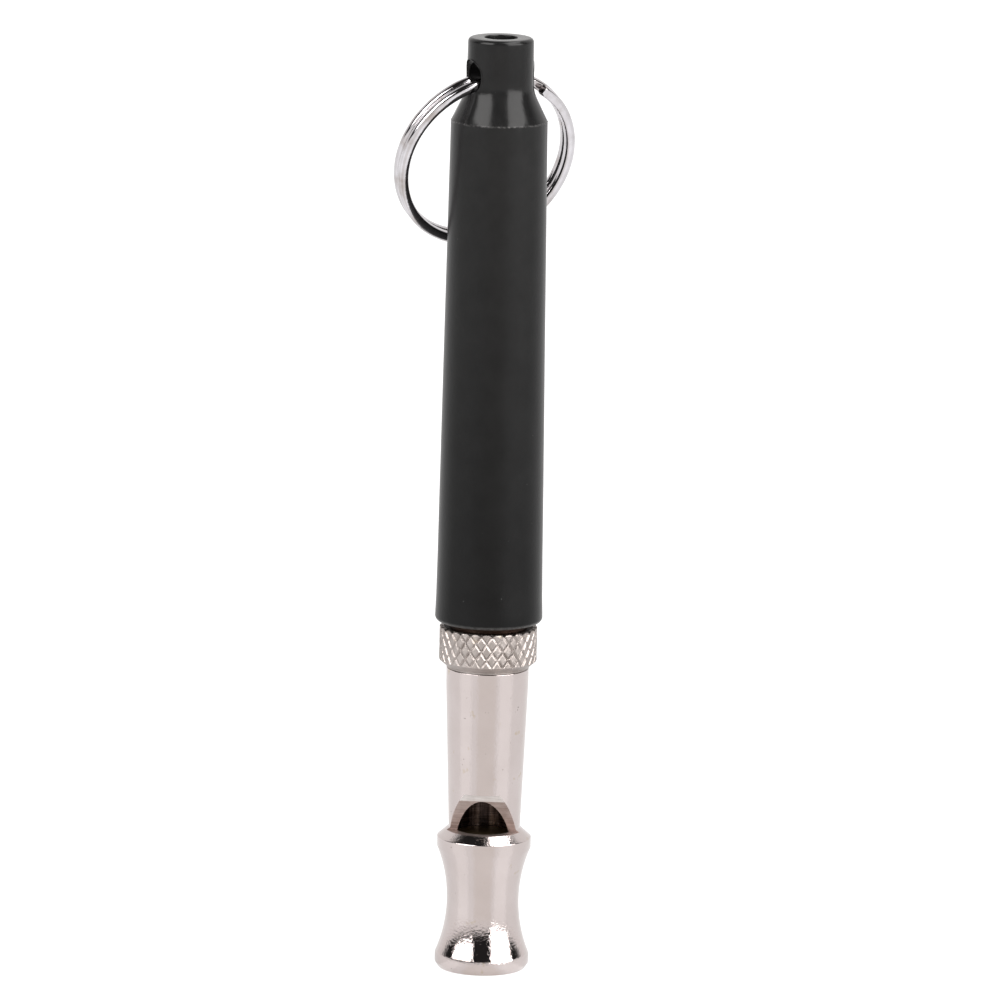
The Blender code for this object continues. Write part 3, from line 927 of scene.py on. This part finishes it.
def build_cover(material):
    lip = []
    for index in range(LIP_STEPS + 1):
        angle = math.pi / 2.0 * index / LIP_STEPS
        lip.append((COVER_FOOT_R + (COVER_LIP_R - COVER_FOOT_R) * math.cos(angle),
                    COVER_LIP_Z + (COVER_BOTTOM_Z - COVER_LIP_Z) * math.sin(angle)))
    upper = fillet([
        (0.0, TOP_HOLE_FLOOR_Z),
        (TOP_HOLE_R, TOP_HOLE_FLOOR_Z, TOP_HOLE_FLOOR_ROUND),
        (TOP_HOLE_R, COVER_TOP_Z, TOP_HOLE_ROUND),
        (NECK_TOP_R, COVER_TOP_Z, NECK_ROUND),
        (NECK_FOOT_R, CONE_TOP_Z, CONE_ROUND),
        SLEEVE_WALL[-1],
    ])
    wall = list(reversed(SLEEVE_WALL))[1:]
    inner = [(CAVITY_R, COVER_BOTTOM_Z), (CAVITY_R, CAVITY_STRAIGHT_Z),
             (CAVITY_TOP_R, CAVITY_TOP_Z), (0.0, CAVITY_TOP_Z)]
    shoulder_r, shoulder_z = SLEEVE_WALL[-1]
    cone_r, cone_z = upper[-2]
    share = FLASH_HEIGHT / (cone_z - shoulder_z)
    over = (shoulder_r + (cone_r - shoulder_r) * share, shoulder_z + FLASH_HEIGHT)
    under = (shoulder_r + SHOULDER_STEP, shoulder_z - FLASH_HEIGHT)
    points = split_long([*upper[:-1], over], NECK_STRETCH) + [SLEEVE_WALL[-1]]
    points += split_long([under, *wall, *lip, *inner], SLEEVE_STRETCH)
    cover = new_object("cover_body", turned("cover_body", points, wobble=cover_wobble), material)
    unite(cover, hole_burr(1.0), hole_burr(-1.0))
    cut(cover, hole_cutter())
    shade(cover, COVER_SMOOTH_DEG)
    return cover


# ---------------------------------------------------------------------------
# Split ring
# ---------------------------------------------------------------------------
def coil_offset(angle_deg):
    """How far the wire is to the side of the ring's middle, as it crosses between coils."""
    share = (angle_deg - CROSS_START_DEG) / (CROSS_END_DEG - CROSS_START_DEG)
    share = min(max(share, 0.0), 1.0)
    smooth = share * share * (3.0 - 2.0 * share)
    return COIL_OFFSET * (2.0 * smooth - 1.0)


def build_ring(material):
    """The wire's section is a round with flatter sides, swept along two coils."""
    shape = bmesh.new()
    rings = []
    for index in range(WIRE_STEPS + 1):
        turn = WIRE_START_DEG + (WIRE_END_DEG - WIRE_START_DEG) * index / WIRE_STEPS
        angle = math.radians(turn)
        outward = Vector((math.sin(angle), 0.0, math.cos(angle)))
        middle = outward * RING_R + Vector((0.0, coil_offset(turn), -RING_DROP))
        size = WIRE_END_SHARE if index in (0, WIRE_STEPS) else 1.0
        ring = []
        for side in range(WIRE_SIDES):
            part = TURN * side / WIRE_SIDES
            wide = abs(math.cos(part)) ** WIRE_SQUARENESS
            deep = abs(math.sin(part)) ** WIRE_SQUARENESS
            flat = (wide + deep) ** (-1.0 / WIRE_SQUARENESS)
            spoke = outward * math.cos(part) * WIRE_RADIAL_R
            spoke += Vector((0.0, math.sin(part) * WIRE_AXIAL_R, 0.0))
            ring.append(shape.verts.new((middle + spoke * size * flat) * MM))
        rings.append(ring)
    for first, second in zip(rings, rings[1:]):
        for side in range(WIRE_SIDES):
            after = (side + 1) % WIRE_SIDES
            shape.faces.new((first[side], first[after], second[after], second[side]))
    shape.faces.new(rings[0])
    shape.faces.new(rings[-1])
    ring = new_object("split_ring_wire", finish_mesh(shape, "split_ring_wire"), material)
    yaw = Matrix.Rotation(math.radians(HOLE_YAW_DEG), 4, "Z")
    lean = Matrix.Rotation(math.radians(RING_LEAN_DEG), 4, "X")
    ring.data.transform(Matrix.Translation((0.0, 0.0, RING_AXIS_Z * MM)) @ yaw @ lean)
    shade(ring, RING_SMOOTH_DEG)
    return ring


# ---------------------------------------------------------------------------
# Stage, light and camera
# ---------------------------------------------------------------------------
# Azimuths are measured from the camera's direction, positive to its right.
LIGHT_AZIMUTHS = ((-77.0, -27.0), (27.0, 80.0))    # the left and the right soft light
LIGHT_ELEVATIONS = ((14.0, 58.0), (5.0, 62.0))
LIGHT_EDGE_DEG = 1.5
LIGHT_COLOUR = (1.0, 0.985, 0.975)
OVERHEAD_X = ((0.06, 0.36), (0.44, 0.56))          # a third soft light, across the ceiling
OVERHEAD_FROM_DEG = (50.0, 54.0)
BAND_AZIMUTHS = ((-80.0, -44.0), (35.0, 75.0))     # the brighter floor below them
BAND_LIFT = 0.14
BAND_EDGE_DEG = 4.0
FLOOR_GREY = 0.16
TAN_AZIMUTHS = (-26.0, 26.0)                       # the floor between them is duller and warm
TAN = (0.89, 0.86, 0.82)
FLOOR_GLOW = 0.68
CAMERA_GLOW = 0.92
HORIZON_DEG = (5.5, 8.0)                           # the white walls fade out over this
BACK_WALL_DEG = (100.0, 125.0)                     # but behind the whistle they are higher
BACK_WALL_TOP_DEG = (36.0, 64.0)
WALL_GLOW = 0.92
LIGHT_GLOW = 6.5
ROOM_GLOW = 0.02

CAMERA_AZIMUTH_DEG = 5.0
CAMERA_DISTANCE = 0.7452
CAMERA_ELEVATION_DEG = 11.154
CAMERA_ROLL_DEG = 1.238
CAMERA_FOV_DEG = 6.4988
CAMERA_AIM = (0.7887, 0.0, 40.494)                 # before the camera's turn to its azimuth
SENSOR_WIDTH = 36.0
FLOOR_SIZE = 40.0


def floor_material():
    """White floor. What the whistle sees of it is brighter below the two soft lights."""
    nodes = Nodes("white_floor")
    nodes.set(Roughness=1.0, Specular_IOR_Level=0.0)
    nodes.set(Base_Color=(FLOOR_GREY, FLOOR_GREY, FLOOR_GREY, 1.0))
    geometry = nodes.add("ShaderNodeNewGeometry")
    split = nodes.add("ShaderNodeSeparateXYZ")
    nodes.link(geometry.outputs["Position"], split.inputs["Vector"])
    back = nodes.math("MULTIPLY", split.outputs["Y"], -1.0)
    azimuth = nodes.math("ARCTAN2", split.outputs["X"], back)
    turn = math.radians(CAMERA_AZIMUTH_DEG)
    share = nodes.span(azimuth, 0.0, 1.0, turn - math.pi, turn + math.pi)
    glow = nodes.ramp(share, azimuth_stops())
    path = nodes.add("ShaderNodeLightPath")
    colour = nodes.mix(path.outputs["Is Camera Ray"], glow, (CAMERA_GLOW,) * 3)
    nodes.link(colour, nodes.shader.inputs["Emission Color"])
    nodes.set(Emission_Strength=1.0)
    return nodes.material


def azimuth_stops():
    """Brighter sectors under the two lights and a warm one between them, with soft edges."""
    plain = (FLOOR_GLOW,) * 3
    lifted = (FLOOR_GLOW + BAND_LIFT,) * 3
    warm = tuple(FLOOR_GLOW * value for value in TAN)
    (left_start, left_end), (right_start, right_end) = BAND_AZIMUTHS
    sectors = (
        (left_start, left_end, lifted),
        (*TAN_AZIMUTHS, warm),
        (right_start, right_end, lifted),
    )
    stops = [(-180.0, plain)]
    for start, end, colour in sectors:
        stops += [(start - BAND_EDGE_DEG, plain), (start + BAND_EDGE_DEG, colour),
                  (end - BAND_EDGE_DEG, colour), (end + BAND_EDGE_DEG, plain)]
    stops.append((180.0, plain))
    return [((angle + 180.0) / 360.0, colour) for angle, colour in stops]


def build_floor():
    shape = bmesh.new()
    bmesh.ops.create_grid(shape, x_segments=1, y_segments=1, size=FLOOR_SIZE)
    mesh = bpy.data.meshes.new("floor")
    shape.to_mesh(mesh)
    shape.free()
    floor = new_object("floor", mesh, floor_material())


def build_world():
    """A white table and walls up to a low horizon, a dark room above, and three soft lights."""
    world = bpy.data.worlds.new("studio")
    bpy.context.scene.world = world
    world.use_nodes = True
    tree = world.node_tree
    tree.nodes.clear()
    link = tree.links.new

    def math_node(operation, first, second=None):
        node = tree.nodes.new("ShaderNodeMath")
        node.operation = operation
        for socket, value in zip(node.inputs, (first, second)):
            if isinstance(value, (int, float)):
                socket.default_value = value
            elif value is not None:
                link(value, socket)
        return node.outputs["Value"]

    def soft_step(value, low, high):
        node = tree.nodes.new("ShaderNodeMapRange")
        node.interpolation_type = "SMOOTHSTEP"
        node.inputs["From Min"].default_value = low
        node.inputs["From Max"].default_value = high
        link(value, node.inputs["Value"])
        return node.outputs["Result"]

    def both(first, second):
        return math_node("MULTIPLY", first, second)

    def inverse(value):
        return math_node("SUBTRACT", 1.0, value)

    def window(value, low, high):
        edge = LIGHT_EDGE_DEG
        return both(soft_step(value, low - edge, low + edge),
                    inverse(soft_step(value, high - edge, high + edge)))

    coords = tree.nodes.new("ShaderNodeTexCoord")
    split = tree.nodes.new("ShaderNodeSeparateXYZ")
    link(coords.outputs["Generated"], split.inputs["Vector"])
    x, y, z = (split.outputs[name] for name in "XYZ")
    degrees = 180.0 / math.pi
    elevation = both(math_node("ARCSINE", z), degrees)
    azimuth = both(math_node("ARCTAN2", x, both(y, -1.0)), degrees)
    azimuth = math_node("SUBTRACT", azimuth, CAMERA_AZIMUTH_DEG)
    low_wall = inverse(soft_step(elevation, *HORIZON_DEG))
    behind = soft_step(math_node("ABSOLUTE", azimuth), *BACK_WALL_DEG)
    back_wall = both(behind, inverse(soft_step(elevation, *BACK_WALL_TOP_DEG)))
    walls = math_node("MAXIMUM", low_wall, back_wall)
    left, right = (both(window(azimuth, *sideways), window(elevation, *upwards))
                   for sideways, upwards in zip(LIGHT_AZIMUTHS, LIGHT_ELEVATIONS))
    across = both(soft_step(x, *OVERHEAD_X[0]), inverse(soft_step(x, *OVERHEAD_X[1])))
    overhead = both(across, soft_step(elevation, *OVERHEAD_FROM_DEG))
    lights = math_node("MAXIMUM", math_node("MAXIMUM", left, right), overhead)
    total = math_node("ADD", both(walls, WALL_GLOW), both(lights, LIGHT_GLOW))
    total = math_node("ADD", total, ROOM_GLOW)
    seen = tree.nodes.new("ShaderNodeLightPath").outputs["Is Camera Ray"]
    strength = math_node("ADD", both(total, inverse(seen)), seen)
    background = tree.nodes.new("ShaderNodeBackground")
    background.inputs["Color"].default_value = (*LIGHT_COLOUR, 1.0)
    link(strength, background.inputs["Strength"])
    output = tree.nodes.new("ShaderNodeOutputWorld")
    link(background.outputs["Background"], output.inputs["Surface"])


def build_camera():
    data = bpy.data.cameras.new("camera")
    data.sensor_width = SENSOR_WIDTH
    data.lens = data.sensor_width / 2.0 / math.tan(math.radians(CAMERA_FOV_DEG) / 2.0)
    data.clip_start = 0.01
    data.clip_end = 100.0
    camera = bpy.data.objects.new("camera", data)
    bpy.context.scene.collection.objects.link(camera)
    tilt = math.radians(CAMERA_ELEVATION_DEG)
    back = Vector((0.0, -math.cos(tilt), math.sin(tilt)))
    camera.location = Vector(CAMERA_AIM) * MM + back * CAMERA_DISTANCE
    look = (-back).to_track_quat("-Z", "Y").to_matrix().to_4x4()
    roll = Matrix.Rotation(math.radians(CAMERA_ROLL_DEG), 4, "Z")
    azimuth = Matrix.Rotation(math.radians(CAMERA_AZIMUTH_DEG), 4, "Z")
    camera.matrix_world = azimuth @ Matrix.Translation(camera.location) @ look @ roll
    bpy.context.scene.camera = camera


# ---------------------------------------------------------------------------
# Assembly
# ---------------------------------------------------------------------------
def main():
    nickel = nickel_material("nickel_plate", PLATE, roughness=0.060, peel_mm=0.016)
    knurled = nickel_material("knurled_nickel", WORN_PLATE, roughness=0.40, peel_mm=0.030)
    brass = brass_material("bare_brass", tone=1.0)
    dull_brass = brass_material("plug_brass", tone=0.55)
    barrel = build_barrel(nickel, milled_material(), bore_material())
    pieces = (
        (barrel, "barrel", "barrel", "nickel_plate"),
        (build_plug(dull_brass), "barrel", "fipple_plug", "bare_brass"),
        (build_nut(knurled, shaded_seat_material()), "lock_nut", "lock_nut", "knurled_nickel"),
        (build_screw(brass), "tuning_screw", "tuning_screw", "bare_brass"),
        (build_cover(plastic_material()), "cover", "cover", "black_plastic"),
        (build_ring(wire_material()), "split_ring", "split_ring", "ring_steel"),
    )
    for piece, body, node, slot_name in pieces:
        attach(piece, body)
        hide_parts(node)
    build_floor()
    build_world()
    build_camera()
    bpy.context.scene.view_settings.view_transform = "Standard"


main()
